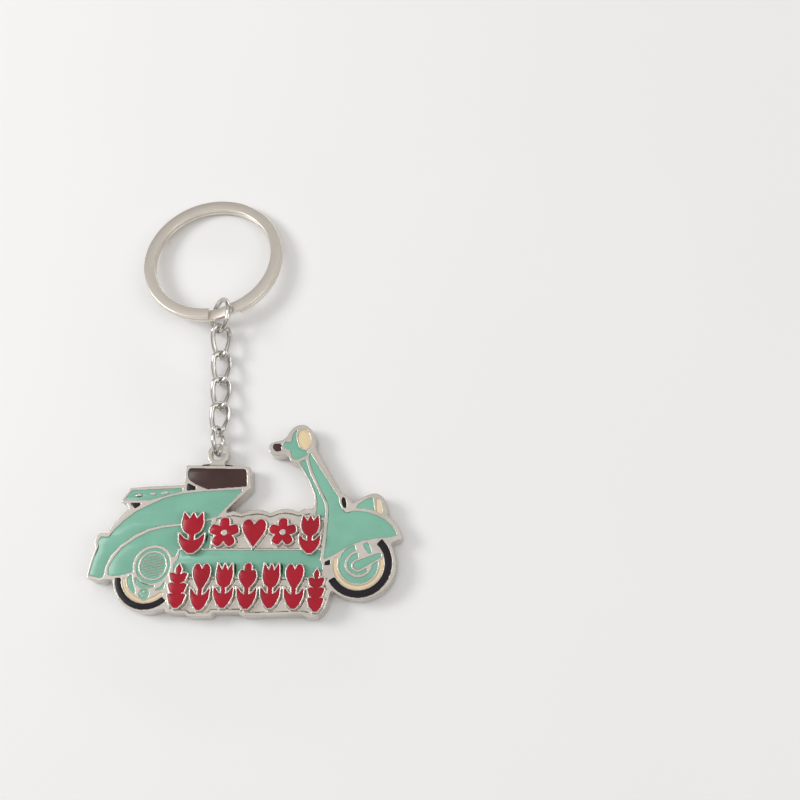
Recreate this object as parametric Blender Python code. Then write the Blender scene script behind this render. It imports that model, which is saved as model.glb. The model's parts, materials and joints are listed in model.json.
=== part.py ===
"""A souvenir keychain: a flat die-cast scooter charm filled with soft enamel, on a short curb chain
with a split ring.

The charm lies on its back, face up. +Z is out of its face, +X is towards the scooter's front wheel and
+Y is towards the split ring. The origin is on the charm's back, under the middle of its ornament band.
Lengths below are in millimetres, and each mesh is scaled to metres when it is finished.

An outline is a list of points. (x, y) is a smooth point, and (x, y, r) is a corner rounded to radius r.
"""

import math

import bmesh
import bpy
from mathutils import Euler, Matrix, Vector, geometry

MM = 0.001

# The casting, in heights above its back.
FACE = 3.3
POCKET_FLOOR = 2.8
PLATE_FLOOR = 2.95
BOSS_TOP = 4.2
BOSS_POCKET_FLOOR = 3.75
CUT_CLEAR = 0.5

# Soft enamel stops a little below the metal that frames it.
ENAMEL_BED = 2.84
ENAMEL_TOP = 3.17
RED_BED = 3.79
RED_TOP = 4.08
FIT_GAP = 0.04
BOSS_WALL = 0.28

# The loop that the lower jump ring hangs in.
LOOP_CENTRE = (-6.25, 17.4)
LOOP_OUTER = 2.2
LOOP_HOLE = 1.3
LOOP_LOW, LOOP_HIGH = 1.7, 3.2
LOOP_FOOT = ((-8.0, 14.5), (-4.5, 14.5))

# Wheels and round covers, as centre and radii.
REAR_WHEEL = (-18.15, -7.25)
FRONT_WHEEL = (22.75, -4.55)
REAR_TYRE_OUTER, FRONT_TYRE_OUTER, TYRE_INNER = 6.2, 6.4, 5.1
RIM_OUTER, RIM_INNER = 4.8, 4.15
DISC_OUTER, DISC_INNER = 3.7, 2.65
HUB_RADIUS = 2.05
ENGINE = (-17.1, -5.0)
ENGINE_OUTER, ENGINE_MIDDLE, ENGINE_GRILLE = 3.4, 2.95, 2.5
SLATS, SLAT_PITCH, SLAT_WIDTH, SLAT_TILT = 8, 0.52, 0.24, math.radians(12)
SLAT_REACH = 2.15
KICK_HUB = (-18.3, -10.45)
KICK_RADIUS = 1.0

# The chain runs straight in its own frame, which starts at the loop and leans a little to the left.
CHAIN_LEAN = math.radians(4.2)
LOOP_BAND = (0, 1.75, 2.45)
LOWER_RING_CENTRE = (0, 2.65, 3.25)
LOWER_RING_RADIUS, LOWER_RING_WIRE = 2.75, 0.5
LOWER_RING_LEAN = math.radians(96)
LINK_WIRE = 0.55
LINK_LENGTH = 6.97
LINK_WIDTH = 3.5
LINK_PITCH = 5.72
LINK_TURN = math.radians(45)
LINK_ROLL = math.radians(8)
FIRST_BAR = 4.18
BAR_HEIGHTS = (2.95, 1.8, 1.7, 1.95, 2.75)
UPPER_RING_CENTRE = (0, 30.4, 3.2)
UPPER_RING_RADIUS, UPPER_RING_WIRE = 3.5, 0.55
UPPER_RING_ROLL = math.radians(48)

# The split ring: two turns of flat wire, with the step between them where the jump ring sits.
SPLIT_CENTRE = (-11.5, 61.45, 2.45)
SPLIT_TILT = math.radians(-6)
SPLIT_RADIUS = 13.8
SPLIT_WIDE, SPLIT_THICK, SPLIT_TURN_GAP = 2.4, 0.8, 0.1
STEP_START, STEP_END = math.radians(-87), math.radians(-61)

NICKEL = (0.78, 0.74, 0.69)
MINT = (0.22, 0.52, 0.39)
BROWN = (0.095, 0.052, 0.047)
BLACK = (0.018, 0.014, 0.02)
CREAM = (0.85, 0.66, 0.38)
RED = (0.45, 0.01, 0.03)

SMOOTH_STEP = math.radians(24)
EDGE_STEP = math.radians(10)
SHORT_STEP = 0.4
ROUND_STEP = math.radians(13)


# ---- Outlines ----


def corner_anchors(before, corner, after, radius):
    """Where a rounded corner starts and ends, each as (point, direction in, direction out)."""
    arrive = (corner - before).normalized()
    leave = (after - corner).normalized()
    turn = arrive.angle(leave, 0.0)
    longest = 0.45 * min((corner - before).length, (after - corner).length)
    trim = min(radius * math.tan(turn / 2), longest)
    if trim < 0.01:
        return [(corner, arrive, leave)]
    return [(corner - arrive * trim, arrive, arrive), (corner + leave * trim, leave, leave)]


def anchors_of(points):
    places = [Vector(p[:2]) for p in points]
    anchors = []
    for i, point in enumerate(points):
        before, here, after = places[i - 1], places[i], places[(i + 1) % len(places)]
        if len(point) == 3:
            anchors += corner_anchors(before, here, after, point[2])
        else:
            along = (after - before).normalized()
            anchors.append((here, along, along))
    return anchors


def outline(points, bend=SMOOTH_STEP):
    """The closed outline as a list of 2D points, with one for each bend that much."""
    anchors = anchors_of(points)
    found = []
    for (start, _, leave), (end, arrive, _) in zip(anchors, anchors[1:] + anchors[:1]):
        chord = end - start
        turn = leave.angle(chord, 0.0) + arrive.angle(chord, 0.0)
        steps = min(math.ceil(turn / bend), math.ceil(chord.length / SHORT_STEP))
        steps = max(1, steps)
        reach = chord.length / 3
        span = geometry.interpolate_bezier(
            start, start + leave * reach, end - arrive * reach, end, steps + 1
        )
        found += [Vector(p[:2]) for p in span[:-1]]
    return found


def arc(centre, radius, start, end):
    """Points along an arc, in degrees, counter-clockwise when end is the larger."""
    first, last = math.radians(start), math.radians(end)
    steps = max(2, math.ceil(abs(last - first) / ROUND_STEP))
    angles = [first + (last - first) * i / steps for i in range(steps + 1)]
    return [Vector(centre) + radius * Vector((math.cos(a), math.sin(a))) for a in angles]


def circle(centre, radius):
    return arc(centre, radius, 0, 360)[:-1]


def sector(centre, inner, outer, start, end):
    """A band between two radii."""
    return arc(centre, outer, start, end) + arc(centre, inner, end, start)


def ellipse(centre, half_wide, half_high, tilt):
    turn = Matrix.Rotation(math.radians(tilt), 2)
    return [
        Vector(centre) + turn @ Vector((half_wide * p.x, half_high * p.y)) for p in circle((0, 0), 1)
    ]


def drop(big, big_radius, small, small_radius):
    """A round end and a smaller one, joined by straight sides."""
    along = Vector(small) - Vector(big)
    heading = math.degrees(math.atan2(along.y, along.x))
    lean = math.degrees(math.acos((big_radius - small_radius) / along.length))
    wide_end = arc(big, big_radius, heading + lean, heading + 360 - lean)
    return wide_end + arc(small, small_radius, heading - lean, heading + lean)


def turns_left(points):
    return sum(a.cross(b) for a, b in zip(points, points[1:] + points[:1])) > 0


def side_lines(points, distance):
    """Each side moved out by distance, with a blunt side added at each sharp outer corner."""
    lines = []
    count = len(points)
    for i, start in enumerate(points):
        end, after = points[(i + 1) % count], points[(i + 2) % count]
        along = (end - start).normalized()
        following = (after - end).normalized()
        out = Vector((along.y, -along.x))
        lines.append((start + out * distance, along))
        turn = math.atan2(along.cross(following), along.dot(following))
        if turn * distance > 0 and abs(turn) > math.radians(70):
            mean = (along + following).normalized()
            lines.append((end + Vector((mean.y, -mean.x)) * distance, mean))
    return lines


def crossing(first, second):
    (p, d), (q, e) = first, second
    across = d.cross(e)
    if abs(across) < 1e-6:
        return q
    return p + d * ((q - p).cross(e) / across)


def grown(points, distance):
    """The outline moved out by distance, or in if it is negative. Sides that turn round are dropped."""
    ring = list(points) if turns_left(points) else list(reversed(points))
    lines = side_lines(ring, distance)
    while len(lines) > 3:
        corners = [crossing(lines[i - 1], lines[i]) for i in range(len(lines))]
        ends = corners[1:] + corners[:1]
        kept = [
            line for line, a, b in zip(lines, corners, ends) if (b - a).dot(line[1]) > 1e-4
        ]
        if len(kept) == len(lines):
            break
        lines = kept
    return corners


# ---- Meshes and materials ----


def collection(name):
    made = bpy.data.collections.new(name)
    bpy.context.scene.collection.children.link(made)
    return made


def material(name, colour, roughness, metallic):
    made = bpy.data.materials.new(name)
    made.use_nodes = True
    shader = made.node_tree.nodes["Principled BSDF"]
    shader.inputs["Base Color"].default_value = (*colour, 1)
    shader.inputs["Roughness"].default_value = roughness
    shader.inputs["Metallic"].default_value = metallic
    made.diffuse_color = (*colour, 1)
    return made


def mesh_of(curve):
    """The curve's mesh with its caps welded on. The curve is removed."""
    guide = bpy.data.objects.new(curve.name, curve)
    if curve.bevel_object:
        # A section from another curve needs the scene evaluated.
        bpy.context.scene.collection.objects.link(guide)
        bpy.context.view_layer.update()
        guide = guide.evaluated_get(bpy.context.evaluated_depsgraph_get())
    mesh = bpy.data.meshes.new_from_object(guide)
    bpy.data.objects.remove(guide.original)
    work = bmesh.new()
    work.from_mesh(mesh)
    bmesh.ops.remove_doubles(work, verts=work.verts, dist=1e-3)
    bmesh.ops.recalc_face_normals(work, faces=work.faces)
    work.to_mesh(mesh)
    work.free()
    return mesh


def place(name, mesh, group, coat=None):
    mesh.name = name
    mesh.transform(Matrix.Scale(MM, 4))
    made = bpy.data.objects.new(name, mesh)
    if coat:
        mesh.materials.clear()
        mesh.materials.append(coat)
    group.objects.link(made)
    return made


def flat_mesh(name, rings, low, high):
    """A plate between two heights, with the first ring as its outline and the others as holes."""
    curve = bpy.data.curves.new(name, "CURVE")
    curve.dimensions = "2D"
    curve.fill_mode = "BOTH"
    curve.extrude = (high - low) / 2
    for ring in rings:
        spline = curve.splines.new("POLY")
        spline.points.add(len(ring) - 1)
        spline.use_cyclic_u = True
        for point, place_2d in zip(spline.points, ring):
            point.co = (place_2d.x, place_2d.y, 0, 1)
    mesh = mesh_of(curve)
    mesh.transform(Matrix.Translation((0, 0, (high + low) / 2)))
    return mesh


def wire_mesh(name, path, radius, closed=True, sides=2, profile=None):
    """A wire along a path of 3D points: round, or with the given flat section."""
    curve = bpy.data.curves.new(name, "CURVE")
    curve.dimensions = "3D"
    curve.bevel_resolution = sides
    if profile:
        curve.bevel_mode = "OBJECT"
        curve.bevel_object = profile
        curve.twist_mode = "Z_UP"
    else:
        curve.bevel_depth = radius
    curve.use_fill_caps = not closed
    spline = curve.splines.new("POLY")
    spline.points.add(len(path) - 1)
    spline.use_cyclic_u = closed
    for point, where in zip(spline.points, path):
        point.co = (*where, 1)
    return mesh_of(curve)


def cutter(name, mesh):
    made = place(name, mesh, CUTTERS)
    made.hide_render = True
    made.display_type = "WIRE"
    return made


def boolean(target, operation, operand):
    """operand is one object, or a collection of them."""
    change = target.modifiers.new(operation.lower(), "BOOLEAN")
    change.operation = operation
    change.solver = "EXACT"
    if isinstance(operand, bpy.types.Collection):
        change.operand_type = "COLLECTION"
        change.collection = operand
    else:
        change.object = operand


# ---- The charm's outlines ----

SILHOUETTE = [
    # seat, slope and the scalloped top of the ornament plate
    (-12.6, 15.15, 0.4), (0.55, 14.8, 0.7), (0.95, 10.45, 0.3), (-4.3, 5.15, 0.3), (-2.25, 5.75),
    (-0.6, 5.25, 0), (0.9, 5.85), (2.5, 6.05), (4.1, 5.8), (5.2, 5.25, 0), (6.65, 5.95), (8.2, 6.2),
    (9.6, 6.0), (10.7, 5.5, 0), (11.75, 6.15), (13.55, 6.15, 0.3),
    # steering column, grip and head
    (13.75, 7.9), (13.3, 9.6), (12.3, 11.8), (11.0, 13.85), (9.75, 15.25), (8.65, 15.7), (8.0, 16.65),
    (7.4, 17.1, 0.3), (5.45, 17.0), (4.3, 17.55), (3.9, 18.45), (4.2, 19.3), (5.1, 19.85),
    (6.55, 20.15, 0.3), (7.25, 20.7), (7.9, 21.75), (8.55, 22.65), (9.5, 23.25), (10.8, 23.35),
    (12.0, 22.6), (12.9, 21.4), (13.25, 20.0), (13.2, 18.85), (13.6, 18.05, 0),
    # horn, fender lamp and fender
    (18.95, 9.1, 0.2), (19.9, 8.95), (20.8, 7.95), (21.05, 7.15, 0.1), (22.2, 7.95), (24.1, 8.85),
    (25.55, 9.2), (26.8, 8.6), (27.65, 7.3), (27.95, 5.95), (28.1, 4.8, 0.1), (29.2, 3.8),
    (30.2, 2.4), (30.85, 0.95), (30.75, 0.25, 0.4), (28.8, -0.55, 0.2),
    # front wheel
    (29.55, -2.4), (29.9, -4.6), (29.5, -6.85), (28.35, -8.8), (26.5, -10.4), (24.3, -11.15),
    (21.85, -11.25), (19.55, -10.65), (17.75, -9.55, 0.2),
    # bottom of the ornament plate
    (17.25, -11.6), (16.6, -13.15), (15.5, -14.35), (14.4, -14.75), (13.15, -14.55),
    (12.4, -14.1, 0.2), (0.9, -14.55, 0.3), (0.45, -13.9, 0.3), (-4.65, -13.95, 0.3),
    (-5.05, -14.65, 0.3), (-9.5, -14.65, 0.3), (-9.95, -14.15, 0.2), (-13.55, -14.05, 0.3),
    # rear wheel
    (-14.0, -13.25, 0.2), (-17.05, -13.95), (-19.95, -13.65), (-22.6, -12.15), (-24.3, -9.75),
    (-24.85, -7.75, 0.1),
    # tail, luggage rack and back of the seat
    (-26.45, -7.7, 0.2), (-27.05, -8.15, 0.3), (-30.15, -7.6, 0.4), (-29.8, -4.55),
    (-29.1, -1.55, 0.1), (-29.45, -0.4), (-29.15, 0.8), (-28.55, 1.4, 0.2), (-27.2, 1.35, 0.1),
    (-26.1, 3.15), (-24.6, 4.9), (-23.2, 6.3, 0.1), (-23.85, 7.3, 0.1), (-25.15, 7.55, 0.3),
    (-23.45, 10.5, 0.4), (-20.3, 10.75), (-12.55, 11.05, 0.1),
]

SEAT = [
    (-12.05, 14.5, 0.5), (-0.25, 14.2, 0.6), (0.1, 10.75, 0.2), (-7.75, 10.2, 0.1), (-8.7, 10.55),
    (-10.3, 11.25), (-11.45, 12.0), (-11.95, 13.0),
]
SEAT_BRACKET = [(-11.9, 11.45, 0.1), (-10.15, 10.65, 0.1), (-10.2, 10.1, 0.1), (-11.9, 9.95, 0.1)]
RACK = [
    (-24.45, 8.1, 0.1), (-23.05, 10.0, 0.2), (-12.75, 10.4, 0.1), (-12.9, 9.85, 0.1), (-15.75, 9.05),
    (-19.3, 8.05, 0.3),
]
RACK_STUDS = {
    "stud_a": outline([(-22.6, 8.75, 0.15), (-20.4, 8.85, 0.15), (-21.6, 9.6, 0.15)]),
    "stud_b": ellipse((-18.65, 9.35), 0.65, 0.33, 5),
    "stud_c": ellipse((-16.25, 9.55), 0.8, 0.36, 8),
}
RACK_SUPPORT = [(-23.25, 7.45, 0.1), (-20.95, 7.45, 0.1), (-21.1, 6.95, 0.1), (-22.0, 6.35, 0.1)]
REAR_BODY = [
    (-0.65, 10.05, 0.1), (-7.95, 9.75), (-12.55, 9.3), (-15.95, 8.5), (-19.2, 7.0), (-21.9, 5.6),
    (-24.05, 3.8), (-25.7, 2.05), (-26.75, 0.55, 0.1), (-28.25, 0.7, 0.2), (-28.75, -0.25),
    (-28.5, -1.05, 0), (-29.2, -3.75), (-29.75, -6.9, 0.2), (-27.2, -7.4, 0.2), (-26.7, -6.85),
    (-26.6, -5.2), (-25.7, -2.95), (-24.05, -0.95), (-21.4, 1.1), (-18.75, 2.35), (-16.0, 3.0),
    (-13.0, 3.3), (-9.25, 3.75), (-5.3, 4.75, 0.1),
]
COWL_EDGE = [
    (-25.9, -6.85, 0.2), (-26.0, -5.3), (-25.25, -3.65), (-23.8, -1.65), (-21.15, 0.4), (-18.6, 1.7),
    (-15.85, 2.4), (-12.95, 2.75), (-9.9, 3.2, 0.1), (-9.9, -1.65, 0.1), (-12.4, -1.65, 0.1),
    (-12.8, -3.0, 0.1),
]
COWL_FOOT = [(-22.05, -6.45), (-23.35, -6.85), (-24.85, -6.95)]
TUNNEL = [(-9.5, 3.25, 0.1), (-6.3, 4.0, 0.1), (-6.3, -1.65, 0.1), (-9.5, -1.65, 0.1)]
GEAR_CASE = [
    (-21.3, -6.75, 0.1), (-21.95, -7.6), (-21.5, -9.15), (-20.8, -10.0), (-20.05, -10.5, 0.1),
    (-20.25, -9.5), (-20.85, -8.15), (-21.1, -6.9, 0.1),
]
GEAR_COVER = [
    (-20.55, -7.0, 0.1), (-20.2, -8.35), (-19.2, -9.25, 0.1), (-17.5, -9.3), (-15.7, -8.95, 0.1),
    (-17.35, -8.85), (-19.3, -8.15),
]
BRAKE_LINK = [
    (-16.55, -9.75, 0.1), (-15.3, -9.25), (-14.6, -8.1, 0.1), (-14.35, -8.3, 0.1), (-14.6, -9.3, 0.1),
    (-15.65, -9.85),
]
LEGSHIELD = [
    (12.15, 17.6, 0.1), (18.4, 8.3, 0.2), (18.55, 7.25), (19.1, 6.15), (19.9, 5.3, 0.1), (21.3, 5.65),
    (22.75, 5.6), (24.35, 5.35), (26.0, 4.75), (27.65, 3.85), (29.05, 2.5), (30.0, 1.0, 0.2),
    (28.6, 0.6), (26.8, 0.45), (25.0, 0.25), (23.2, -0.15), (21.65, -0.7), (19.7, -1.7),
    (17.65, -2.9), (16.1, -3.7, 0.1), (16.2, -2.1), (16.4, 0.6), (16.5, 3.5), (16.6, 5.9),
    (16.3, 7.25), (14.75, 10.15), (13.25, 13.1), (12.5, 15.05), (12.1, 16.6),
]
INNER_STRIP = [
    (10.3, 15.6, 0.1), (11.5, 16.15, 0.1), (11.85, 15.0), (12.6, 12.95), (14.1, 10.1), (15.6, 7.3),
    (15.95, 6.0), (15.9, 4.3, 0.1), (14.1, 4.9, 0.1), (14.25, 6.3), (14.25, 7.7), (13.8, 9.4),
    (12.75, 11.6), (11.45, 13.85),
]
HEAD = [
    (9.55, 22.55, 0.1), (8.8, 21.8), (8.5, 20.75), (8.6, 19.9, 0.2), (7.85, 19.65), (7.25, 19.9),
    (6.9, 19.2), (7.2, 18.5), (8.0, 18.2, 0.2), (8.4, 17.7), (8.75, 16.6), (9.5, 16.1, 0.3),
    (11.6, 17.0, 0.2), (11.8, 17.8, 0.1), (10.85, 18.0), (9.85, 18.9), (9.35, 20.4), (9.25, 21.6),
]
GRIP = [
    (4.75, 18.95), (5.0, 19.4), (5.8, 19.4), (6.5, 19.4, 0.1), (6.35, 18.75), (6.5, 18.05, 0.1),
    (5.6, 17.85), (5.0, 18.25),
]
LAMP_HOUSING = [
    (21.7, 6.3, 0.1), (22.4, 7.05), (23.65, 7.9), (25.0, 8.35, 0.1), (25.2, 7.3), (25.45, 5.75, 0.1),
    (24.4, 6.0), (23.05, 6.2),
]
LAMP_LENS = [
    (25.7, 8.35, 0.1), (26.3, 7.85), (26.75, 6.7), (26.95, 5.0, 0.1), (25.9, 5.5, 0.1), (25.8, 6.7),
]
FORK = [
    (23.5, -0.75, 0.1), (24.4, -0.45, 0.1), (24.75, -1.2), (25.2, -2.3, 0.1), (24.7, -2.6, 0.1),
    (24.05, -1.9),
]
TYRE_STUB = [(16.3, -4.25, 0.1), (17.3, -3.75, 0.1), (17.4, -4.7, 0.1), (16.35, -4.85, 0.1)]
PLATE_TOP = [
    (-5.4, 4.25, 0.1), (-2.25, 4.9), (-0.6, 4.6), (1.0, 5.0), (2.6, 5.2), (4.1, 5.0), (5.2, 4.6),
    (6.65, 5.15), (8.2, 5.35), (9.6, 5.15), (10.7, 4.8), (12.9, 5.2), (13.5, 4.7, 0.1),
    (15.6, 3.85, 0.1), (15.75, 0.8), (15.55, -1.65, 0.1), (-5.9, -1.65, 0.1),
]
FLOORBOARD = [
    (-12.1, -2.05, 0.1), (15.55, -2.05, 0.1), (15.3, -3.7, 0.1), (15.9, -4.9, 0.1), (15.8, -7.1, 0.1),
    (-12.9, -7.1, 0.1), (-13.05, -4.8, 0.1), (-12.3, -3.6, 0.1),
]
PLATE_LOW = [
    (-13.2, -7.5, 0.1), (15.8, -7.5, 0.1), (16.6, -8.1), (16.75, -9.3), (16.5, -11.2), (15.6, -13.1),
    (14.3, -13.9), (12.6, -13.5, 0.3), (1.3, -13.85, 0.2), (0.65, -13.25, 0.2), (-5.0, -13.3, 0.2),
    (-5.5, -13.95, 0.2), (-9.15, -14.0, 0.2), (-9.7, -13.5, 0.2), (-12.9, -13.4, 0.3),
]


# ---- Ornaments, each in a box one unit wide and one unit high around its middle ----

LEAF_PAIR = [(0.10, -0.04, 0), (0.10, -0.20, 0), (0.27, -0.16), (0.50, -0.02, 0), (0.46, -0.24),
             (0.30, -0.40), (0.10, -0.50, 0)]
TULIP = [(0, 0.50, 0), (0.14, 0.33, 0), (0.36, 0.50, 0), (0.42, 0.24), (0.30, 0.03)] + LEAF_PAIR
HEART_PLANT = [(0, 0.36, 0), (0.12, 0.47), (0.30, 0.48), (0.44, 0.34), (0.34, 0.14)] + LEAF_PAIR
CLOVER = [(0, 0.50), (0.17, 0.44), (0.17, 0.32, 0), (0.34, 0.35), (0.44, 0.21), (0.30, 0.07)] + LEAF_PAIR
SPRIG = [
    (0, 0.50, 0), (0.16, 0.38), (0.09, 0.25, 0), (0.28, 0.29), (0.48, 0.27, 0), (0.36, 0.12),
    (0.09, 0.03, 0), (0.28, 0.06), (0.50, 0.03, 0), (0.37, -0.13), (0.09, -0.22, 0), (0.28, -0.18),
    (0.48, -0.21, 0), (0.34, -0.39), (0.10, -0.50, 0),
]
HEART = [(0, 0.30, 0), (0.22, 0.50), (0.48, 0.34), (0.40, 0.0), (0, -0.50, 0)]


def mirrored(half):
    """A right half, from the top down, with its mirror image."""
    left = [(-p[0], *p[1:]) for p in reversed(half) if p[0] > 0]
    return half + left


def ornament(half, centre, wide, high):
    points = [(centre[0] + p[0] * wide, centre[1] + p[1] * high, *p[2:]) for p in mirrored(half)]
    return outline(points)


def blossom(centre, radius, petals=5):
    """A flower with round petals, the first one pointing up."""
    points = []
    for petal in range(petals):
        middle = math.radians(90 + 360 * petal / petals)
        half = math.pi / petals
        for share, reach in ((-0.5, 0.93), (0, 1.0), (0.5, 0.93)):
            angle = middle + share * half
            points.append((radius * reach * math.cos(angle), radius * reach * math.sin(angle)))
        notch = middle + half
        points.append((radius * 0.52 * math.cos(notch), radius * 0.52 * math.sin(notch), 0))
    return outline([(centre[0] + p[0], centre[1] + p[1], *p[2:]) for p in points])


# Name, shape, centre, width and height. A blossom's width is its diameter.
ORNAMENTS = [
    ("upper_tulip_rear", TULIP, (-9.75, 1.3), 5.1, 8.0),
    ("upper_blossom_rear", None, (-3.4, 1.25), 5.8, 0),
    ("upper_heart", HEART, (2.45, 1.15), 4.7, 5.4),
    ("upper_blossom_front", None, (8.05, 1.35), 5.3, 0),
    ("upper_tulip_front", TULIP, (13.35, 1.0), 4.1, 7.4),
    ("lower_sprig_rear", SPRIG, (-11.6, -9.0), 3.7, 8.4),
    ("lower_heart_rear", HEART_PLANT, (-7.1, -9.15), 3.8, 8.8),
    ("lower_tulip_rear", TULIP, (-2.6, -8.9), 3.8, 8.4),
    ("lower_clover", CLOVER, (1.9, -9.0), 3.8, 8.6),
    ("lower_tulip_front", TULIP, (6.4, -8.9), 3.8, 8.4),
    ("lower_heart_front", HEART_PLANT, (10.9, -9.0), 3.75, 8.4),
    ("lower_sprig_front", SPRIG, (15.1, -9.7), 3.2, 8.0),
]
BLOSSOM_EYE = 0.62


def ornament_rings(shape, centre, wide, high):
    """The enamel's outline, and a hole for the metal eye of a blossom."""
    if shape:
        return [ornament(shape, centre, wide, high)]
    return [blossom(centre, wide / 2), circle(centre, BLOSSOM_EYE)]


# ---- The charm ----


def cowl_outline():
    """The cowl follows the engine cover's ring along part of its edge."""
    edge = outline(COWL_EDGE + [(-13.6, -3.4, 0), (-20.6, -6.1, 0)] + COWL_FOOT)
    ring = arc(ENGINE, ENGINE_OUTER + 0.35 + 0.3, 25, 197)
    last = next(i for i, p in enumerate(edge) if (p - Vector((-13.6, -3.4))).length < 0.02)
    return edge[:last] + ring + edge[last + 2:]


def slat(index):
    """One bar of the engine grille: as long as the grille is wide there."""
    across = (index - (SLATS - 1) / 2) * SLAT_PITCH
    half = math.sqrt(SLAT_REACH**2 - across**2)
    turn = Matrix.Rotation(SLAT_TILT, 2)
    low, high = across - SLAT_WIDTH / 2, across + SLAT_WIDTH / 2
    corners = [(-half, low), (half, low), (half, high), (-half, high)]
    return [Vector(ENGINE) + turn @ Vector(c) for c in corners]


LEVER = drop((22.65, -4.85), 0.85, (26.6, -2.95), 0.42)
LEVER_FRAME = grown(LEVER, 0.45)
KICK_BAR = drop((-17.0, -10.3), 0.3, (-14.1, -9.65), 0.28)

# Cells: name, colour name, rings. A cell's pocket is cut in the casting and filled with enamel.
CELLS = [
    ("seat_enamel", "brown", [outline(SEAT)]),
    ("seat_bracket_enamel", "black", [outline(SEAT_BRACKET)]),
    ("luggage_rack_enamel", "mint", [outline(RACK)]),
    ("rack_support_enamel", "black", [outline(RACK_SUPPORT)]),
    ("rear_body_enamel", "mint", [outline(REAR_BODY)]),
    ("cowl_enamel", "mint", [cowl_outline()]),
    ("tunnel_enamel", "mint", [outline(TUNNEL)]),
    ("engine_cover_enamel", "mint", [circle(ENGINE, ENGINE_OUTER), circle(ENGINE, ENGINE_MIDDLE)]),
    ("engine_grille_enamel", "mint", [circle(ENGINE, ENGINE_GRILLE)]),
    ("gear_case_enamel", "mint", [outline(GEAR_CASE)]),
    ("gear_cover_enamel", "mint", [outline(GEAR_COVER)]),
    ("brake_link_enamel", "mint", [outline(BRAKE_LINK)]),
    ("kick_hub_enamel", "mint", [circle(KICK_HUB, KICK_RADIUS)]),
    ("rear_tyre_enamel", "black", [sector(REAR_WHEEL, TYRE_INNER, REAR_TYRE_OUTER, 182, 313)]),
    ("rear_rim_enamel", "cream", [sector(REAR_WHEEL, RIM_INNER, RIM_OUTER, 183, 318)]),
    ("front_tyre_enamel", "black", [sector(FRONT_WHEEL, TYRE_INNER, FRONT_TYRE_OUTER, -150, 48)]),
    ("front_tyre_stub_enamel", "black", [outline(TYRE_STUB)]),
    ("front_rim_enamel", "cream", [sector(FRONT_WHEEL, RIM_INNER, RIM_OUTER, 166, 373)]),
    ("front_disc_enamel", "mint", [sector(FRONT_WHEEL, DISC_INNER, DISC_OUTER, 103, 366)]),
    ("front_hub_enamel", "mint", [sector(FRONT_WHEEL, 0.5, HUB_RADIUS, 95, 330)]),
    ("brake_lever_enamel", "mint", [LEVER]),
    ("fork_enamel", "mint", [outline(FORK)]),
    ("legshield_enamel", "mint", [outline(LEGSHIELD)]),
    ("inner_legshield_enamel", "mint", [outline(INNER_STRIP)]),
    ("handlebar_head_enamel", "mint", [outline(HEAD)]),
    ("headlamp_enamel", "cream", [ellipse((10.98, 20.3), 1.25, 2.05, 14)]),
    ("grip_enamel", "brown", [outline(GRIP)]),
    ("horn_enamel", "black", [ellipse((19.5, 7.35), 0.42, 1.1, 13)]),
    ("fender_lamp_enamel", "mint", [outline(LAMP_HOUSING)]),
    ("fender_lens_enamel", "cream", [outline(LAMP_LENS)]),
    ("floorboard_enamel", "mint", [outline(FLOORBOARD)]),
]

# Bare parts of the ornament plate, and metal that stands in a cell.
BARE_POCKETS = {"plate_top": outline(PLATE_TOP), "plate_low": outline(PLATE_LOW)}
FACE_BOSSES = {
    **RACK_STUDS,
    "kick_ring": grown(circle(KICK_HUB, KICK_RADIUS), 0.28),
    "kick_bar": KICK_BAR,
    "lever_frame": LEVER_FRAME,
    **{f"slat_{i}": slat(i) for i in range(SLATS)},
}
KICK_STUDS = {
    "kick_stud_a": circle((KICK_HUB[0] + 0.05, KICK_HUB[1] + 0.42), 0.25),
    "kick_stud_b": circle((KICK_HUB[0] - 0.2, KICK_HUB[1] - 0.42), 0.25),
}
HOLLOW_BOSSES = {"kick_ring": circle(KICK_HUB, KICK_RADIUS), "lever_frame": LEVER}


def box_of(points):
    xs, ys = [p.x for p in points], [p.y for p in points]
    return min(xs), max(xs), min(ys), max(ys)


def boxes_meet(first, second):
    a, b = box_of(first), box_of(second)
    return a[0] < b[1] and b[0] < a[1] and a[2] < b[3] and b[2] < a[3]


def inside(small, large):
    a, b = box_of(small), box_of(large)
    return b[0] <= a[0] and a[1] <= b[1] and b[2] <= a[2] and a[3] <= b[3]


def bosses_over(rings):
    """The outlines of the metal that cuts into a cell, grown by the enamel's gap."""
    hollow = [name for name, hole in HOLLOW_BOSSES.items() if inside(rings[0], hole)]
    found = {n: r for n, r in {**FACE_BOSSES, **KICK_STUDS}.items() if n not in hollow}
    found |= {name: grown(ring, BOSS_WALL) for name, ring in RAISED.items()}
    return {n: grown(r, FIT_GAP) for n, r in found.items() if boxes_meet(r, rings[0])}


def group_of(name, meshes):
    """Cutters that one Boolean takes together."""
    group = bpy.data.collections.new(name)
    CUTTERS.children.link(group)
    group.hide_render = True
    for label, mesh in meshes:
        made = place(label, mesh, group)
        made.hide_render = True
        made.display_type = "WIRE"
    return group


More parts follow.
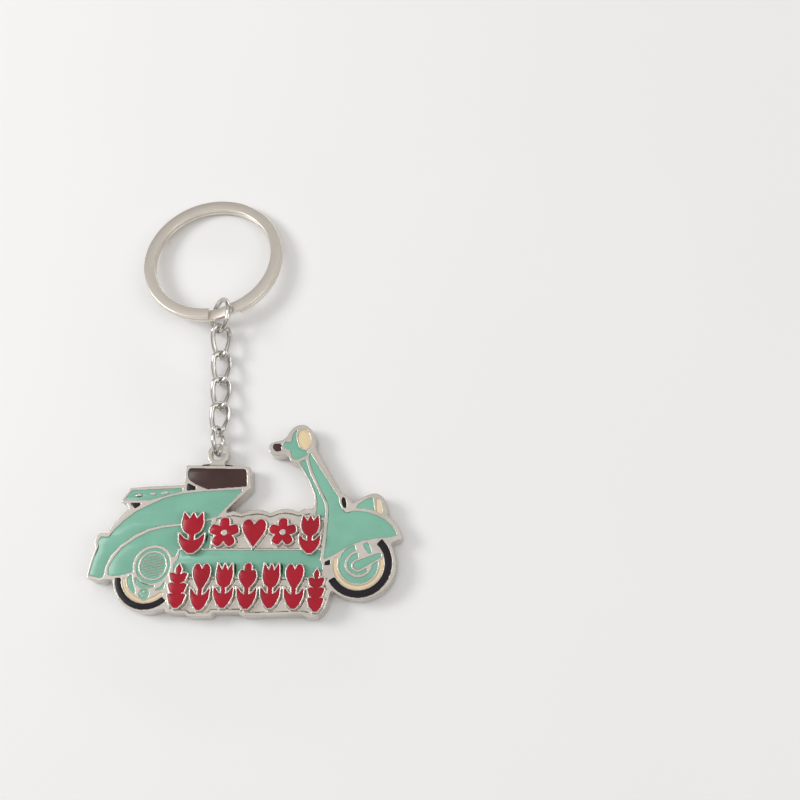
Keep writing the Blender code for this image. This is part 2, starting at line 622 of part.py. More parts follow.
def charm_casting():
    plate = flat_mesh("plate", [outline(SILHOUETTE, EDGE_STEP)], 0, FACE)
    casting = place("charm_casting", plate, PARTS, COATS["nickel"])
    top = FACE + CUT_CLEAR
    loop = arc(LOOP_CENTRE, LOOP_OUTER, -50, 230) + [Vector(p) for p in LOOP_FOOT]
    boolean(casting, "UNION", cutter("loop_body", flat_mesh("loop", [loop], LOOP_LOW, LOOP_HIGH)))
    pockets = [
        (f"pocket_{name}", flat_mesh(name, rings, POCKET_FLOOR, top)) for name, _, rings in CELLS
    ]
    pockets += [
        (f"pocket_{name}", flat_mesh(name, [ring], PLATE_FLOOR, top))
        for name, ring in BARE_POCKETS.items()
    ]
    hole = flat_mesh("hole", [circle(LOOP_CENTRE, LOOP_HOLE)], -CUT_CLEAR, top)
    boolean(casting, "DIFFERENCE", group_of("pockets", pockets + [("loop_hole", hole)]))
    root = POCKET_FLOOR - 0.3
    standing = [
        (f"boss_{name}", flat_mesh(name, [ring], root, FACE)) for name, ring in FACE_BOSSES.items()
    ]
    boolean(casting, "UNION", group_of("face_bosses", standing))
    hollows = [
        (f"hollow_{name}", flat_mesh(name, [ring], POCKET_FLOOR, top))
        for name, ring in HOLLOW_BOSSES.items()
    ]
    boolean(casting, "DIFFERENCE", group_of("hollows", hollows))
    raised = [
        (f"raised_{name}", flat_mesh(name, [grown(ring, BOSS_WALL)], root, BOSS_TOP))
        for name, ring in RAISED.items()
    ]
    raised += [
        (f"raised_{name}", flat_mesh(name, [ring], root, FACE)) for name, ring in KICK_STUDS.items()
    ]
    boolean(casting, "UNION", group_of("raised", raised))
    above = BOSS_TOP + CUT_CLEAR
    red = [
        (f"red_{name}", flat_mesh(name, ornament_rings(*spec), BOSS_POCKET_FLOOR, above))
        for name, *spec in ORNAMENTS
    ]
    boolean(casting, "DIFFERENCE", group_of("red_pockets", red))


def shrunk(rings):
    """A cell's outline moved in by the gap, and its holes moved out."""
    return [grown(rings[0], -FIT_GAP)] + [grown(ring, FIT_GAP) for ring in rings[1:]]


def enamel(name, colour, rings):
    mesh = flat_mesh(name, shrunk(rings), ENAMEL_BED, ENAMEL_TOP)
    made = place(name, mesh, PARTS, COATS[colour])
    cuts = [
        (f"{name}_{label}", flat_mesh(label, [ring], ENAMEL_BED - CUT_CLEAR, ENAMEL_TOP + CUT_CLEAR))
        for label, ring in bosses_over(rings).items()
    ]
    if cuts:
        boolean(made, "DIFFERENCE", group_of(f"cuts_{name}", cuts))


def red_enamel(name, *spec):
    mesh = flat_mesh(name, shrunk(ornament_rings(*spec)), RED_BED, RED_TOP)
    place(f"{name}_enamel", mesh, PARTS, COATS["red"])


# ---- The chain, each piece in the frame of the joint that it turns on ----


def pivot(name, parent, where, lean=0.0):
    """An empty on a joint's axis. where is in millimetres, from the parent's own pivot."""
    made = bpy.data.objects.new(name, None)
    made.empty_display_size = 0.003
    made.location = Vector(where) * MM
    made.rotation_euler = Euler((0, 0, lean))
    made.parent = parent
    PARTS.objects.link(made)
    return made


def hang(name, mesh, parent, where):
    """Places a mesh made in the chain's frame on its pivot, which is at where in that frame."""
    mesh.transform(Matrix.Translation(-Vector(where)))
    made = place(name, mesh, PARTS, COATS["bright"])
    made.parent = parent
    return made


def ring_path(centre, radius, roll, steps):
    """A ring whose plane holds the chain's axis, turned about that axis by roll from level."""
    side = Vector((math.cos(roll), 0, math.sin(roll)))
    return [
        Vector(centre) + radius * (math.sin(a) * side + math.cos(a) * Vector((0, 1, 0)))
        for a in (math.tau * i / steps for i in range(steps))
    ]


def link_path(low_bar, high_bar, steps=28):
    """A twisted oval from its lower bar to its upper one, both on the chain's axis."""
    middle = (Vector(low_bar) + Vector(high_bar)) / 2
    along = Vector(high_bar) - Vector(low_bar)
    half, side = along.length / 2, LINK_WIDTH / 2
    straight = half - side
    turn_to = Vector((0, 1, 0)).rotation_difference(along)
    path = []
    for step in range(steps):
        angle = math.tau * step / steps
        across, forward = side * math.sin(angle), side * math.cos(angle)
        forward += math.copysign(straight, forward) * min(1, abs(math.cos(angle)) * 2.2)
        twist = LINK_ROLL - LINK_TURN * forward / half
        local = Vector((across * math.cos(twist), forward, across * math.sin(twist)))
        path.append(middle + turn_to @ local)
    return path


def bar_centre(index, upper):
    """The middle of a link's end bar. Link 1 is nearest the split ring, and link 4 nearest the charm."""
    low = FIRST_BAR + (4 - index) * LINK_PITCH
    if upper:
        return Vector((0, low + LINK_LENGTH, BAR_HEIGHTS[index - 1]))
    return Vector((0, low, BAR_HEIGHTS[index]))


def split_ring_path():
    """Two turns, one on the other, with a step up between them."""
    level = (SPLIT_THICK + SPLIT_TURN_GAP) / 2
    start = STEP_END - math.tau
    end = STEP_START + math.tau
    steps = 104
    path = []
    for i in range(steps + 1):
        angle = start + (end - start) * i / steps
        share = min(1, max(0, (angle - STEP_START) / (STEP_END - STEP_START)))
        rise = level * (2 * (3 * share**2 - 2 * share**3) - 1)
        path.append(Vector((SPLIT_RADIUS * math.cos(angle), SPLIT_RADIUS * math.sin(angle), rise)))
    return path


def flat_section():
    """The split ring wire's section, as a closed curve."""
    curve = bpy.data.curves.new("wire_section", "CURVE")
    curve.dimensions = "2D"
    spline = curve.splines.new("POLY")
    spline.points.add(3)
    spline.use_cyclic_u = True
    wide, thick = SPLIT_WIDE / 2, SPLIT_THICK / 2
    corners = ((-wide, -thick), (wide, -thick), (wide, thick), (-wide, thick))
    for point, (x, y) in zip(spline.points, corners):
        point.co = (x, y, 0, 1)
    made = bpy.data.objects.new("wire_section", curve)
    CUTTERS.objects.link(made)
    made.hide_render = True
    return made


def chain():
    """The pieces in order from the charm, each pivot parented to the one before."""
    lean_home = pivot("chain_line", None, (*LOOP_CENTRE, 0), CHAIN_LEAN)
    here = Vector((0, 0, 0))
    parent = lean_home
    joints = [("lower_jump_ring", Vector(LOOP_BAND))]
    joints.append(("chain_link_4", Vector((0, FIRST_BAR + 1.18, BAR_HEIGHTS[4]))))
    for index in (3, 2, 1):
        between = (bar_centre(index, False) + bar_centre(index + 1, True)) / 2
        joints.append((f"chain_link_{index}", between))
    joints.append(("upper_jump_ring", bar_centre(1, True) - Vector((0, 1.2, 0))))
    for name, where in joints:
        parent = pivot(f"pivot_{name}", parent, where - here)
        here = where
        if name == "lower_jump_ring":
            path = ring_path(LOWER_RING_CENTRE, LOWER_RING_RADIUS, LOWER_RING_LEAN, 24)
            mesh = wire_mesh(name, path, LOWER_RING_WIRE, sides=1)
        elif name == "upper_jump_ring":
            path = ring_path(UPPER_RING_CENTRE, UPPER_RING_RADIUS, UPPER_RING_ROLL, 28)
            mesh = wire_mesh(name, path, UPPER_RING_WIRE, sides=1)
        else:
            index = int(name[-1])
            path = link_path(bar_centre(index, False), bar_centre(index, True))
            mesh = wire_mesh(name, path, LINK_WIRE, sides=1)
        hang(name, mesh, parent, where)


def split_ring():
    """Its pivot is on its own wire, inside the upper jump ring."""
    mesh = wire_mesh("split_ring", split_ring_path(), 0, closed=False, profile=flat_section())
    mesh.transform(Matrix.Rotation(SPLIT_TILT, 4, "X"))
    home = Matrix.Rotation(CHAIN_LEAN, 4, "Z") @ Vector((0, 30.75, 3.86)) + Vector((*LOOP_CENTRE, 0))
    mesh.transform(Matrix.Translation(Vector(SPLIT_CENTRE) - home))
    made = place("split_ring", mesh, PARTS, COATS["nickel"])
    made.parent = pivot("pivot_split_ring", None, home)


def clear_scene():
    for obj in list(bpy.data.objects):
        bpy.data.objects.remove(obj)


clear_scene()
PARTS = collection("scooter_keychain")
CUTTERS = collection("cutters")
CUTTERS.hide_render = True
COATS = {
    "nickel": material("satin_nickel", NICKEL, 0.32, 1.0),
    "bright": material("bright_nickel", NICKEL, 0.14, 1.0),
    "mint": material("mint_enamel", MINT, 0.25, 0.0),
    "brown": material("brown_enamel", BROWN, 0.3, 0.0),
    "black": material("black_enamel", BLACK, 0.25, 0.0),
    "cream": material("cream_enamel", CREAM, 0.25, 0.0),
    "red": material("red_enamel", RED, 0.2, 0.0),
}
RAISED = {name: ornament_rings(*spec)[0] for name, *spec in ORNAMENTS}
chain()
split_ring()
charm_casting()
for cell_name, cell_colour, cell_rings in CELLS:
    enamel(cell_name, cell_colour, cell_rings)
for red_name, *red_spec in ORNAMENTS:
    red_enamel(red_name, *red_spec)
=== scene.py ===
"""The look of the scooter keychain: enamel pools, relief, polished chain and split ring on a pale table."""

import json
import math

import bmesh
import bpy
from mathutils import Matrix, Vector, geometry


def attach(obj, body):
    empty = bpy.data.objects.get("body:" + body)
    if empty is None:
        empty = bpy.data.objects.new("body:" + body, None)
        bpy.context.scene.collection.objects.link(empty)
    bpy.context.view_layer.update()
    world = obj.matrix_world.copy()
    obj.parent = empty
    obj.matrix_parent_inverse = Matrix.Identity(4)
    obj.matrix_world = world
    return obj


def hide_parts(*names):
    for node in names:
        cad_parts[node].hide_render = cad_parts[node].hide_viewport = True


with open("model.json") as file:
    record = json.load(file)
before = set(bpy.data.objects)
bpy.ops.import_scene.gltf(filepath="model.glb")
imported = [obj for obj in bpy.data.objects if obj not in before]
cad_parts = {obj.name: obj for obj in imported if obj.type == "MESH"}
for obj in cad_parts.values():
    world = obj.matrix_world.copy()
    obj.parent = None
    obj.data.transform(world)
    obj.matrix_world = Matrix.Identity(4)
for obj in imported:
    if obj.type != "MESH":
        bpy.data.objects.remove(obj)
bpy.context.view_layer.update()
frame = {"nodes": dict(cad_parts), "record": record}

MM = 0.001
NODES = frame["nodes"]
SLOTS = {s["node"]: s["material_slot"] for s in frame["record"]["subparts"]}

# The casting's relief is rounded at this scale, and enamel runs this far under its rims.
RELIEF_GRAIN = 0.11 * MM
RELIEF_TRIANGLES = 330000
ENAMEL_SPREAD = 0.07 * MM
CORNER = math.radians(38)
SHORT_CHORD = 0.15 * MM
POOL_EDGE = 0.05 * MM
WELD = 1e-7

# The chain and rings, as in the frame: the chain's line starts at the loop and leans to the left.
LOOP_CENTRE = Vector((-6.25, 17.4, 0))
CHAIN_LEAN = math.radians(4.2)
LOWER_RING = {"centre": (0, 2.65, 3.25), "radius": 2.75, "wire": 0.5, "roll": math.radians(96)}
UPPER_RING = {"centre": (0, 30.4, 3.2), "radius": 3.5, "wire": 0.55, "roll": math.radians(48)}
LINK_WIRE, LINK_LENGTH, LINK_WIDTH, LINK_PITCH = 0.55, 6.97, 3.5, 5.72
LINK_TURN, LINK_ROLL = math.radians(45), math.radians(8)
FIRST_BAR = 4.18
BAR_HEIGHTS = (2.95, 1.8, 1.7, 1.95, 2.75)
SPLIT_CENTRE = (-11.5, 61.45, 2.45)
SPLIT_TILT = math.radians(-6)
SPLIT_RADIUS, SPLIT_WIDE, SPLIT_THICK, SPLIT_TURN_GAP = 13.8, 2.4, 0.8, 0.1
STEP_START, STEP_END = math.radians(-87), math.radians(-61)

# How bright the sky is at each height: pale at the horizon, dark above it for the metal to mirror.
SKY_LEVELS = ((0, 0.8), (0.1, 0.7), (0.22, 0.1), (0.45, 0.3), (1, 0.9))


# ---- Node materials ----


class Nodes:
    """A material's node tree, with short ways to add and join nodes."""

    def __init__(self, name):
        self.made = bpy.data.materials.new(name)
        self.made.use_nodes = True
        self.tree = self.made.node_tree
        self.shader = self.tree.nodes["Principled BSDF"]
        self.place = self.add("ShaderNodeTexCoord").outputs["Object"]

    def add(self, kind, **settings):
        node = self.tree.nodes.new(kind)
        for key, value in settings.items():
            setattr(node, key, value)
        return node

    def join(self, source, socket):
        self.tree.links.new(source, socket)

    def noise(self, scale, detail=3, roughness=0.5, place=None):
        node = self.add("ShaderNodeTexNoise")
        node.inputs["Scale"].default_value = scale
        node.inputs["Detail"].default_value = detail
        node.inputs["Roughness"].default_value = roughness
        self.join(place or self.place, node.inputs["Vector"])
        return node.outputs["Fac"]

    def ramp(self, source, low, high, start, end):
        node = self.add("ShaderNodeMapRange")
        self.join(source, node.inputs["Value"])
        for key, value in (("From Min", low), ("From Max", high), ("To Min", start), ("To Max", end)):
            node.inputs[key].default_value = value
        return node.outputs["Result"]

    def maths(self, operation, first, second):
        node = self.add("ShaderNodeMath", operation=operation)
        for socket, value in zip(node.inputs, (first, second)):
            if isinstance(value, (int, float)):
                socket.default_value = value
            else:
                self.join(value, socket)
        return node.outputs["Value"]

    def mix(self, share, first, second):
        node = self.add("ShaderNodeMix", data_type="RGBA")
        self.join(share, node.inputs["Factor"])
        for key, value in (("A", first), ("B", second)):
            socket = next(s for s in node.inputs if s.name == key and s.type == "RGBA")
            if isinstance(value, tuple):
                socket.default_value = (*value, 1)
            else:
                self.join(value, socket)
        return next(s for s in node.outputs if s.type == "RGBA")

    def bump(self, height, strength, distance, below=None):
        node = self.add("ShaderNodeBump")
        node.inputs["Strength"].default_value = strength
        node.inputs["Distance"].default_value = distance
        self.join(height, node.inputs["Height"])
        if below:
            self.join(below, node.inputs["Normal"])
        return node.outputs["Normal"]


def plated(name, light, dark, smooth, rough, pits=0.35):
    """Nickel plate: cloudy tone, uneven polish, fine pits and a soft ripple from the mould."""
    n = Nodes(name)
    n.shader.inputs["Metallic"].default_value = 1
    cloud = n.noise(230, 4, 0.6)
    grain = n.noise(5200, 3, 0.65)
    tone = n.maths("MULTIPLY_ADD", grain, 0.35)
    n.join(cloud, tone.node.inputs[2])
    n.join(n.mix(n.ramp(tone, 0.45, 0.9, 0, 1), light, dark), n.shader.inputs["Base Color"])
    n.join(n.ramp(tone, 0.4, 0.95, smooth, rough), n.shader.inputs["Roughness"])
    ripple = n.bump(n.noise(900, 2), 0.12, 0.00006)
    n.join(n.bump(grain, pits, 0.000012, ripple), n.shader.inputs["Normal"])
    return n.made


def brushed_ring(name, light, dark, smooth, rough):
    """Flat ring wire, with fine marks that run round it."""
    n = Nodes(name)
    n.shader.inputs["Metallic"].default_value = 1
    shift = n.add("ShaderNodeVectorMath", operation="SUBTRACT")
    n.join(n.place, shift.inputs[0])
    shift.inputs[1].default_value = tuple(c * MM for c in SPLIT_CENTRE)
    length = n.add("ShaderNodeVectorMath", operation="LENGTH")
    n.join(shift.outputs["Vector"], length.inputs[0])
    along = n.add("ShaderNodeSeparateXYZ")
    n.join(shift.outputs["Vector"], along.inputs[0])
    angle = n.maths("ARCTAN2", along.outputs["Y"], along.outputs["X"])
    polar = n.add("ShaderNodeCombineXYZ")
    n.join(n.maths("MULTIPLY", length.outputs["Value"], 9000), polar.inputs["X"])
    n.join(n.maths("MULTIPLY", angle, 3.0), polar.inputs["Y"])
    marks = n.noise(1.0, 4, 0.6, polar.outputs["Vector"])
    cloud = n.noise(160, 3, 0.5)
    tone = n.maths("MULTIPLY_ADD", marks, 0.6)
    n.join(cloud, tone.node.inputs[2])
    n.join(n.mix(n.ramp(tone, 0.5, 1.05, 0, 1), light, dark), n.shader.inputs["Base Color"])
    n.join(n.ramp(tone, 0.5, 1.1, smooth, rough), n.shader.inputs["Roughness"])
    scuffs = n.bump(n.noise(2600, 3), 0.12, 0.00001)
    n.join(n.bump(marks, 0.3, 0.00001, scuffs), n.shader.inputs["Normal"])
    return n.made


def enamel_coat(name, colour, deep, rough=0.26, gloss=0.22, shine=0.35):
    """Soft enamel: a faint pooling of tone, a slow sag of the surface, specks and a clear skin."""
    n = Nodes(name)
    pool = n.noise(190, 3, 0.55)
    specks = n.noise(7000, 2, 0.7)
    tone = n.maths("MULTIPLY_ADD", specks, 0.25)
    n.join(pool, tone.node.inputs[2])
    n.join(n.mix(n.ramp(tone, 0.42, 0.85, 0, 1), colour, deep), n.shader.inputs["Base Color"])
    n.join(n.ramp(specks, 0.35, 0.75, rough, rough + 0.14), n.shader.inputs["Roughness"])
    sag = n.bump(n.noise(420, 1), 0.35, 0.00008)
    n.join(n.bump(specks, 0.16, 0.000012, sag), n.shader.inputs["Normal"])
    n.shader.inputs["Coat Weight"].default_value = gloss
    n.shader.inputs["Coat Roughness"].default_value = 0.12
    n.shader.inputs["Specular IOR Level"].default_value = shine
    return n.made


def table_top():
    n = Nodes("table")
    n.join(n.mix(n.noise(14, 2), (0.94, 0.94, 0.94), (0.97, 0.97, 0.97)), n.shader.inputs["Base Color"])
    n.shader.inputs["Roughness"].default_value = 0.7
    return n.made


COATS = {
    "satin_nickel": plated("satin_nickel_look", (0.72, 0.675, 0.62), (0.55, 0.51, 0.465), 0.16, 0.32),
    "bright_nickel": plated("bright_nickel_look", (0.78, 0.755, 0.725), (0.6, 0.57, 0.535), 0.09, 0.19, 0.15),
    "mint_enamel": enamel_coat("mint_enamel_look", (0.235, 0.54, 0.405), (0.2, 0.47, 0.35)),
    "brown_enamel": enamel_coat(
        "brown_enamel_look", (0.07, 0.034, 0.031), (0.05, 0.024, 0.022), gloss=0.15, shine=0.2
    ),
    "black_enamel": enamel_coat(
        "black_enamel_look", (0.014, 0.009, 0.014), (0.008, 0.006, 0.009), 0.3, 0.1, 0.22
    ),
    "cream_enamel": enamel_coat("cream_enamel_look", (0.88, 0.72, 0.46), (0.8, 0.62, 0.36)),
    "red_enamel": enamel_coat(
        "red_enamel_look", (0.48, 0.002, 0.022), (0.34, 0.002, 0.015), 0.2, 0.22, 0.2
    ),
}
RING_COAT = brushed_ring("ring_nickel_look", (0.86, 0.8, 0.72), (0.74, 0.68, 0.61), 0.24, 0.4)


# ---- Outlines read from the frame ----


def rim_loops(node):
    """The closed outlines of a node's top face, outer one first."""
    work = bmesh.new()
    work.from_mesh(node.data)
    bmesh.ops.remove_doubles(work, verts=work.verts, dist=WELD)
    work.normal_update()
    top = max(v.co.z for v in work.verts)
    flat = {f for f in work.faces if f.normal.z > 0.9 and min(v.co.z for v in f.verts) > top - 1e-5}
    following = {}
    for face in flat:
        for corner in face.loops:
            if not any(f in flat for f in corner.edge.link_faces if f is not face):
                following[corner.vert] = corner.link_loop_next.vert
    loops = []
    while following:
        start, here = next(iter(following.items()))
        del following[start]
        loop = [start.co.copy()]
        while here in following:
            loop.append(here.co.copy())
            here = following.pop(here)
        loops.append([Vector((p.x, p.y)) for p in loop])
    work.free()
    loops = [loop for loop in loops if len(loop) > 2]
    return sorted(loops, key=lambda loop: -abs(area(loop))), top


def area(loop):
    return sum(a.cross(b) for a, b in zip(loop, loop[1:] + loop[:1])) / 2


def rounded(loop, parts=4):
    """The outline with curves through its gentle bends. Its corners stay."""
    count = len(loop)
    found, tangents = [], []
    for i, here in enumerate(loop):
        before, after = here - loop[i - 1], loop[(i + 1) % count] - here
        sharp = before.length < 1e-9 or after.length < 1e-9 or before.angle(after) > CORNER
        mean = before.normalized() * after.length + after.normalized() * before.length
        tangents.append(None if sharp else mean.normalized())
    for i, here in enumerate(loop):
        end = loop[(i + 1) % count]
        chord = end - here
        leave = tangents[i] or chord.normalized()
        arrive = tangents[(i + 1) % count] or chord.normalized()
        if chord.length < SHORT_CHORD:
            found.append(here)
            continue
        reach = chord.length / 3
        span = geometry.interpolate_bezier(
            here, here + leave * reach, end - arrive * reach, end, parts + 1
        )
        found += [Vector(p[:2]) for p in span[:-1]]
    return found


# ---- Meshes ----


def object_of(name, mesh, coat, body, slot, *nodes):
    made = bpy.data.objects.new(name, mesh)
    bpy.context.scene.collection.objects.link(made)
    mesh.materials.clear()
    mesh.materials.append(coat)
    mesh.shade_smooth()
    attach(made, body)
    if nodes:
        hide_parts(*nodes)
    return made


def mesh_from_curve(curve):
    guide = bpy.data.objects.new(curve.name, curve)
    bpy.context.scene.collection.objects.link(guide)
    bpy.context.view_layer.update()
    shape = guide.evaluated_get(bpy.context.evaluated_depsgraph_get())
    mesh = bpy.data.meshes.new_from_object(shape)
    bpy.data.objects.remove(guide)
    work = bmesh.new()
    work.from_mesh(mesh)
    bmesh.ops.remove_doubles(work, verts=work.verts, dist=WELD)
    bmesh.ops.recalc_face_normals(work, faces=work.faces)
    work.to_mesh(mesh)
    work.free()
    return mesh


def enamel_pool(node, coat):
    """Enamel with curved outlines, a rounded edge and a surface that runs under the metal rims."""
    loops, top = rim_loops(node)
    base = min(v.co.z for v in node.data.vertices)
    curve = bpy.data.curves.new(node.name + "_pool", "CURVE")
    curve.dimensions = "2D"
    curve.fill_mode = "BOTH"
    curve.bevel_depth = POOL_EDGE
    curve.bevel_resolution = 1
    curve.offset = ENAMEL_SPREAD - POOL_EDGE
    curve.extrude = (top - base) / 2 - POOL_EDGE
    for loop in loops:
        ring = rounded(loop)
        spline = curve.splines.new("POLY")
        spline.points.add(len(ring) - 1)
        spline.use_cyclic_u = True
        for point, where in zip(spline.points, ring):
            point.co = (where.x, where.y, 0, 1)
    mesh = mesh_from_curve(curve)
    mesh.transform(Matrix.Translation((0, 0, (top + base) / 2)))
    made = object_of(node.name + "_pool", mesh, coat, "charm", SLOTS[node.name], node.name)
    mesh.set_sharp_from_angle(angle=math.radians(40))
    return made


def relief(node):
    """The casting with its edges softened as a cast and plated surface has them."""
    mesh = node.data.copy()
    made = bpy.data.objects.new("casting_relief", mesh)
    bpy.context.scene.collection.objects.link(made)
    grain = made.modifiers.new("grain", "REMESH")
    grain.mode = "VOXEL"
    grain.voxel_size = RELIEF_GRAIN
    soft = made.modifiers.new("soft", "SMOOTH")
    soft.factor = 0.5
    soft.iterations = 2
    bpy.context.view_layer.update()
    faces = len(made.evaluated_get(bpy.context.evaluated_depsgraph_get()).data.polygons) * 2
    thin = made.modifiers.new("thin", "DECIMATE")
    thin.ratio = min(1, RELIEF_TRIANGLES / faces)
    bpy.context.view_layer.update()
    shape = made.evaluated_get(bpy.context.evaluated_depsgraph_get())
    finished = bpy.data.meshes.new_from_object(shape)
    bpy.data.objects.remove(made)
    return object_of(
        "casting_relief", finished, COATS["satin_nickel"], "charm", "satin_nickel", node.name
    )


def in_chain(point):
    """A point of the chain's own frame, placed in the row frame, in metres."""
    return (LOOP_CENTRE + Matrix.Rotation(CHAIN_LEAN, 3, "Z") @ Vector(point)) * MM


def wire(name, path, radius, closed=True):
    curve = bpy.data.curves.new(name, "CURVE")
    curve.dimensions = "3D"
    curve.bevel_depth = radius * MM
    curve.bevel_resolution = 5
    curve.use_fill_caps = not closed
    spline = curve.splines.new("POLY")
    spline.points.add(len(path) - 1)
    spline.use_cyclic_u = closed
    for point, where in zip(spline.points, path):
        point.co = (*where, 1)
    return mesh_from_curve(curve)


def jump_ring(centre, radius, wire, roll, cut, steps=96):
    """A ring of round wire that is closed up to a hairline cut."""
    side = Vector((math.cos(roll), 0, math.sin(roll)))
    slit = 0.07 / radius
    path = []
    for i in range(steps + 1):
        a = cut + slit + (math.tau - 2 * slit) * i / steps
        offset = math.sin(a) * side + math.cos(a) * Vector((0, 1, 0))
        path.append(in_chain(Vector(centre) + radius * offset))
    return path


def bar_centre(index, upper):
    low = FIRST_BAR + (4 - index) * LINK_PITCH
    if upper:
        return Vector((0, low + LINK_LENGTH, BAR_HEIGHTS[index - 1]))
    return Vector((0, low, BAR_HEIGHTS[index]))


def link_path(index, steps=112):
    low_bar, high_bar = bar_centre(index, False), bar_centre(index, True)
    middle, along = (low_bar + high_bar) / 2, high_bar - low_bar
    half, side = along.length / 2, LINK_WIDTH / 2
    straight = half - side
    turn_to = Vector((0, 1, 0)).rotation_difference(along)
    path = []
    for step in range(steps):
        angle = math.tau * step / steps
        across, forward = side * math.sin(angle), side * math.cos(angle)
        forward += math.copysign(straight, forward) * min(1, abs(math.cos(angle)) * 2.2)
        twist = LINK_ROLL - LINK_TURN * forward / half
        local = Vector((across * math.cos(twist), forward, across * math.sin(twist)))
        path.append(in_chain(middle + turn_to @ local))
    return path


def split_path(steps=340):
    level = (SPLIT_THICK + SPLIT_TURN_GAP) / 2
    start, end = STEP_END - math.tau, STEP_START + math.tau
    path = []
    for i in range(steps + 1):
        angle = start + (end - start) * i / steps
        share = min(1, max(0, (angle - STEP_START) / (STEP_END - STEP_START)))
        rise = level * (2 * (3 * share**2 - 2 * share**3) - 1)
        path.append(Vector((SPLIT_RADIUS * math.cos(angle), SPLIT_RADIUS * math.sin(angle), rise)))
    return path


def ring_section():
    """Flat wire with rounded edges."""
    curve = bpy.data.curves.new("wire_section", "CURVE")
    curve.dimensions = "2D"
    wide, thick, edge = SPLIT_WIDE / 2, SPLIT_THICK / 2, 0.2
    points = []
    for x, y, start in ((1, -1, -90), (1, 1, 0), (-1, 1, 90), (-1, -1, 180)):
        for i in range(5):
            a = math.radians(start + 22.5 * i)
            points.append((x * (wide - edge) + edge * math.cos(a), y * (thick - edge) + edge * math.sin(a)))
    spline = curve.splines.new("POLY")
    spline.points.add(len(points) - 1)
    spline.use_cyclic_u = True
    for point, (x, y) in zip(spline.points, points):
        point.co = (x * MM, y * MM, 0, 1)
    made = bpy.data.objects.new("wire_section", curve)
    bpy.context.scene.collection.objects.link(made)
    return made


def split_ring():
    section = ring_section()
    curve = bpy.data.curves.new("split_ring_wire", "CURVE")
    curve.dimensions = "3D"
    curve.bevel_mode = "OBJECT"
    curve.bevel_object = section
    curve.twist_mode = "Z_UP"
    curve.use_fill_caps = True
    path = split_path()
    spline = curve.splines.new("POLY")
    spline.points.add(len(path) - 1)
    for point, where in zip(spline.points, path):
        point.co = (*(where * MM), 1)
    mesh = mesh_from_curve(curve)
    bpy.data.objects.remove(section)
    mesh.transform(Matrix.Rotation(SPLIT_TILT, 4, "X"))
    mesh.transform(Matrix.Translation(Vector(SPLIT_CENTRE) * MM))
    object_of("split_ring_wire", mesh, RING_COAT, "split_ring", "satin_nickel", "split_ring")
    mesh.set_sharp_from_angle(angle=math.radians(35))


# ---- Camera, light and table ----


def camera():
    """The view of the charm from above and a little to its right."""
    data = bpy.data.cameras.new("camera")
    data.sensor_width = 36
    data.lens = 48.04
    data.clip_start = 0.01
    made = bpy.data.objects.new("camera", data)
    forward = Vector((-0.1218, 0.3851, -1.0)).normalized()
    right = forward.cross(Vector((0, 1, 0))).normalized()
    up = right.cross(forward)
    roll = 0.0286
    right, up = (
        math.cos(roll) * right + math.sin(roll) * up,
        math.cos(roll) * up - math.sin(roll) * right,
    )
    turn = Matrix((right, up, -forward)).transposed()
    made.matrix_world = Matrix.Translation(Vector((53.671, -47.269, 199.561)) * MM) @ turn.to_4x4()
    bpy.context.scene.collection.objects.link(made)
    bpy.context.scene.camera = made


def lamp(name, where, target, size, power):
    data = bpy.data.lights.new(name, "AREA")
    data.shape = "RECTANGLE"
    data.size, data.size_y = size
    data.energy = power
    made = bpy.data.objects.new(name, data)
    aim = Vector(target) - Vector(where)
    made.location = where
    made.rotation_euler = aim.to_track_quat("-Z", "Y").to_euler()
    bpy.context.scene.collection.objects.link(made)


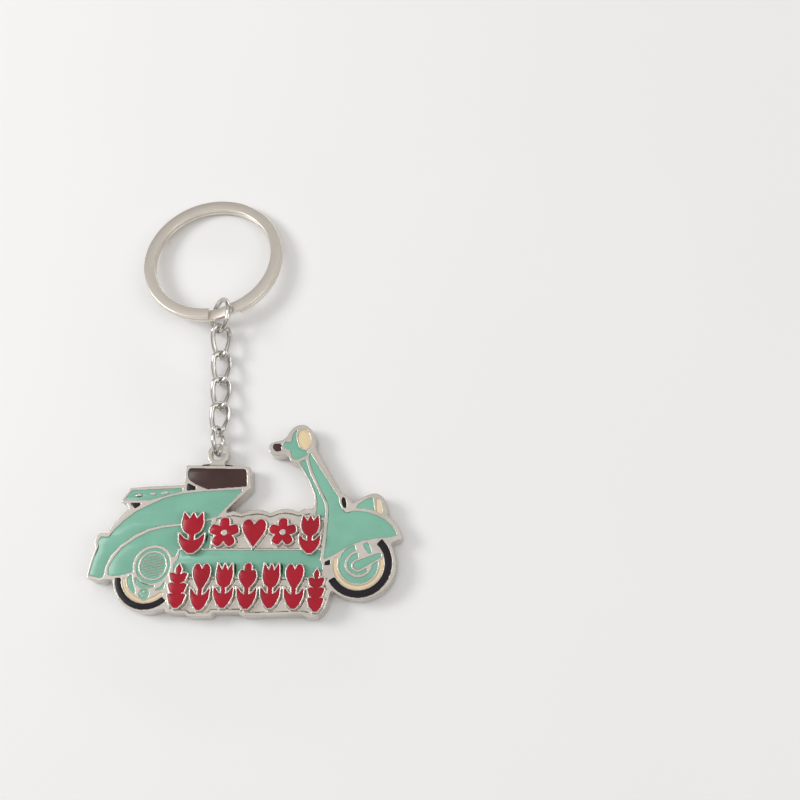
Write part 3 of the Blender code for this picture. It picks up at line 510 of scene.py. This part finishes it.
def table():
    work = bmesh.new()
    bmesh.ops.create_grid(work, x_segments=2, y_segments=2, size=1.5)
    mesh = bpy.data.meshes.new("table")
    work.to_mesh(mesh)
    work.free()
    made = bpy.data.objects.new("table", mesh)
    made.location.z = -0.0003
    mesh.materials.append(table_top())
    bpy.context.scene.collection.objects.link(made)


def studio():
    world = bpy.data.worlds.new("studio")
    world.use_nodes = True
    tree = world.node_tree
    sky = tree.nodes["Background"]
    way = tree.nodes.new("ShaderNodeTexCoord")
    height = tree.nodes.new("ShaderNodeSeparateXYZ")
    level = tree.nodes.new("ShaderNodeValToRGB")
    tree.links.new(way.outputs["Generated"], height.inputs[0])
    tree.links.new(height.outputs["Z"], level.inputs["Fac"])
    stops = level.color_ramp.elements
    for _ in range(len(SKY_LEVELS) - len(stops)):
        stops.new(0.5)
    for stop, (where, strength) in zip(stops, SKY_LEVELS):
        stop.position = where
        stop.color = (strength, strength, strength, 1)
    tree.links.new(level.outputs["Color"], sky.inputs["Strength"])
    sky.inputs["Color"].default_value = (1, 0.985, 0.965, 1)
    bpy.context.scene.world = world
    bpy.context.scene.view_settings.view_transform = "Standard"
    centre = (0, 0.02, 0)
    lamp("key", (-0.44, 0.1, 0.4), centre, (0.24, 0.24), 1.35)
    lamp("fill", (0.4, -0.1, 0.35), centre, (0.25, 0.25), 0.35)
    lamp("strip", (0.1, 0.55, 0.12), centre, (0.5, 0.05), 0.45)


for name, node in NODES.items():
    if name.endswith("_enamel"):
        enamel_pool(node, COATS[SLOTS[name]])
relief(NODES["charm_casting"])
for label, ring, cut in (("lower_jump_ring", LOWER_RING, 2.6), ("upper_jump_ring", UPPER_RING, 2.1)):
    mesh = wire(label + "_wire", jump_ring(cut=cut, **ring), ring["wire"], closed=False)
    object_of(label + "_wire", mesh, COATS["bright_nickel"], label, "bright_nickel", label)
    mesh.set_sharp_from_angle(angle=math.radians(50))
for index in (4, 3, 2, 1):
    label = f"chain_link_{index}"
    mesh = wire(label + "_wire", link_path(index), LINK_WIRE)
    object_of(label + "_wire", mesh, COATS["bright_nickel"], label, "bright_nickel", label)
split_ring()
camera()
studio()
table()
